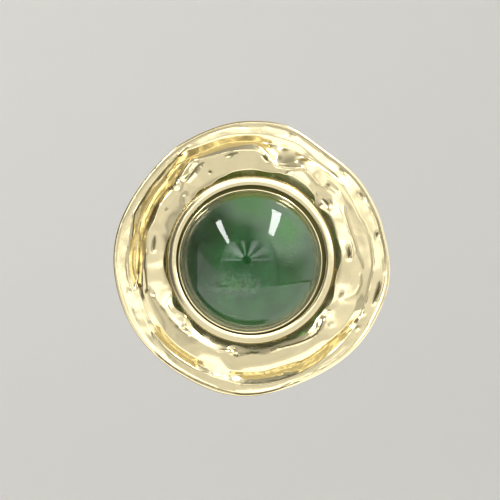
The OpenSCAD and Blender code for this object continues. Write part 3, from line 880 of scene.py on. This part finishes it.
def light_tent():
    """The world is a white tent: front cloth with a hole for the camera, a ceiling that is brighter
    on the right, a bright right wall that is darker low in front, a table with a dark ledge, and a
    left wall that is dark above and pale below. The left end and the left rear are dark, and it is
    pale straight behind."""
    world = bpy.data.worlds.new("light_tent")
    bpy.context.scene.world = world
    world.use_nodes = True
    tree = world.node_tree
    background = tree.nodes["Background"]
    look = add_node(tree, "ShaderNodeTexCoord").outputs["Generated"]
    front = add_node(tree, "ShaderNodeMath", {0: cloth_folds(tree, look), 1: 0.85}, operation="ADD")
    ceiling = blend_level(tree, side_of(tree, look, (1, 0, 0), 0.20, 0.22), 0.40, 1.02)
    level = blend_level(tree, side_of(tree, look, UP_FRONT, 0.0, 0.02), front.outputs["Value"], ceiling)
    below = side_of(tree, look, BELOW_STRIP, 0.0, 0.015)
    corner = both(tree, below, side_of(tree, look, RIGHT_WALL, -0.05, 0.03))
    level = blend_level(tree, corner, level, 0.32)
    right = both(tree, below, side_of(tree, look, RIGHT_WALL, 0.0, 0.015))
    lower = blend_level(tree, side_of(tree, look, (0, 1, 0), -0.32, 0.20), 0.60, 1.45)
    wall = blend_level(tree, side_of(tree, look, (0, 0, 1), 0.15, 0.11), lower, 1.35)
    level = blend_level(tree, right, level, wall)
    left = both(tree, side_of(tree, look, LEFT_CORNER, 0.0, 0.02),
                side_of(tree, look, LEFT_WALL, 0.0, 0.02))
    wall = blend_level(tree, side_of(tree, look, LEFT_SHADOW, -0.02, 0.04), 1.15, 0.22)
    level = blend_level(tree, left, level, wall)
    ledge = both(tree, right, side_of(tree, look, TABLE, 0.360, 0.006))
    level = blend_level(tree, ledge, level, 0.06)
    level = blend_level(tree, side_of(tree, look, TABLE, 0.387, 0.006), level, 1.8)
    behind = blend_level(tree, side_of(tree, look, (-0.5, 0, 0.87), 0.7, 0.2), 0.1, 0.5)
    dark = both(tree, side_of(tree, look, (0, 1, -0.1), 0.075, 0.03),
                side_of(tree, look, (-1, 0, 0), -0.30, 0.1))
    level = blend_level(tree, dark, level, behind)
    level = blend_level(tree, side_of(tree, look, LEFT_PANEL, 0.871, 0.012), level, 0.12)
    level = blend_level(tree, side_of(tree, look, (0, 1, 0), 0.60, 0.06), level, 0.8)
    level = blend_level(tree, side_of(tree, look, HOLE, 0.9969, 0.0004), level, 0.15)
    colour = add_node(tree, "ShaderNodeCombineColor", {"Red": level, "Green": level, "Blue": level})
    tree.links.new(colour.outputs["Color"], background.inputs["Color"])


def strip_light(name, start, end, far, near, width, level):
    """A long soft light of an even brightness between two directions, its end nearer than its
    start, facing the earring."""
    a, b = Vector(start).normalized() * far, Vector(end).normalized() * near
    middle = (a + b) / 2
    lamp = bpy.data.lights.new(name, "AREA")
    lamp.shape = "RECTANGLE"
    lamp.size, lamp.size_y = (b - a).length, width
    lamp.energy = math.pi * level * lamp.size * width
    holder = bpy.data.objects.new(name, lamp)
    bpy.context.scene.collection.objects.link(holder)
    x_axis = (b - a).normalized()
    y_axis = middle.cross(x_axis).normalized()
    z_axis = x_axis.cross(y_axis).normalized()
    holder.matrix_world = (Matrix.Translation(middle + Vector((0, 0, -DISC_DROP * MM)))
                           @ Matrix((x_axis, y_axis, z_axis)).transposed().to_4x4())
    holder.visible_camera = False


def set_lights():
    """The tent, and in it the two strips that the stone mirrors as white bars."""
    light_tent()
    strip_light("left_strip", (-0.385, -0.862, 0.333), (-0.570, -0.38, 0.735),
                far=1.15, near=0.50, width=0.06, level=15)
    strip_light("right_strip", (0.380, -0.799, 0.469), (0.480, -0.183, 0.858),
                far=1.03, near=0.60, width=0.11, level=15)


def set_camera():
    """Almost square on, from 3 degrees to the left, framed as the photograph."""
    distance, across = 0.60, 0.100
    camera = bpy.data.cameras.new("camera")
    camera.sensor_width = 36
    camera.lens = 18 / (across / 2 / distance)
    holder = bpy.data.objects.new("camera", camera)
    bpy.context.scene.collection.objects.link(holder)
    turn = math.radians(-3)
    away = Vector((math.sin(turn), -math.cos(turn), 0))
    aim = Vector((-0.26 * MM, -3 * MM, (-DISC_DROP + 2.0) * MM))
    holder.location = aim + away * distance
    holder.rotation_euler = (-away).to_track_quat("-Z", "Y").to_euler()
    bpy.context.scene.camera = holder
    bpy.context.scene.view_settings.view_transform = "Standard"


disc = model_hammered_disc()
for area in RUBBED:
    soften(disc, *area)
hammer(disc, CREASES)
hammer(disc, MARKS)
finish_disc(disc)
cup = model_bezel_cup()
stone = model_domed_stone()

hammered_gold = plated_gold("hammered_gold", "EFE2B8", "ECDCAC", 0.13, 2.4, 0.02)
polished_gold = plated_gold("polished_gold", "F0E3B8", "EDDEB0", 0.07, 4.0, 0.008)
darken_by_polish_and_shade(hammered_gold)
paint(disc, hammered_gold)
paint(cup, polished_gold)
paint(stone, green_resin())
add_second(cup, setting_floor(), lambda face: stone_radius(face.center) < COLLAR_R - 0.05
           and -face.center.y < (CUP_BACK + COLLAR_HEIGHT - 0.3) * MM)
add_second(cup, groove_shadow(), lambda face: stone_radius(face.center) > COLLAR_R - 0.05
           and radius_of(face.center) < 15.0 and
           (CUP_BACK + 0.2) * MM < -face.center.y < (CUP_BACK + CUP_HEIGHT - 0.12) * MM)
paint(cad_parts["ear_post"], plated_gold("post_metal", "E9D9A8", "E4D29C", 0.12, 3.0, 0.002))

for piece, node, finish in ((disc, "hammered_disc", "hammered_gold"), (cup, "bezel_cup", "polished_gold"),
                            (stone, "domed_stone", "green_resin")):
    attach(piece, "root")
    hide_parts(node)

set_stage()
set_lights()
set_camera()
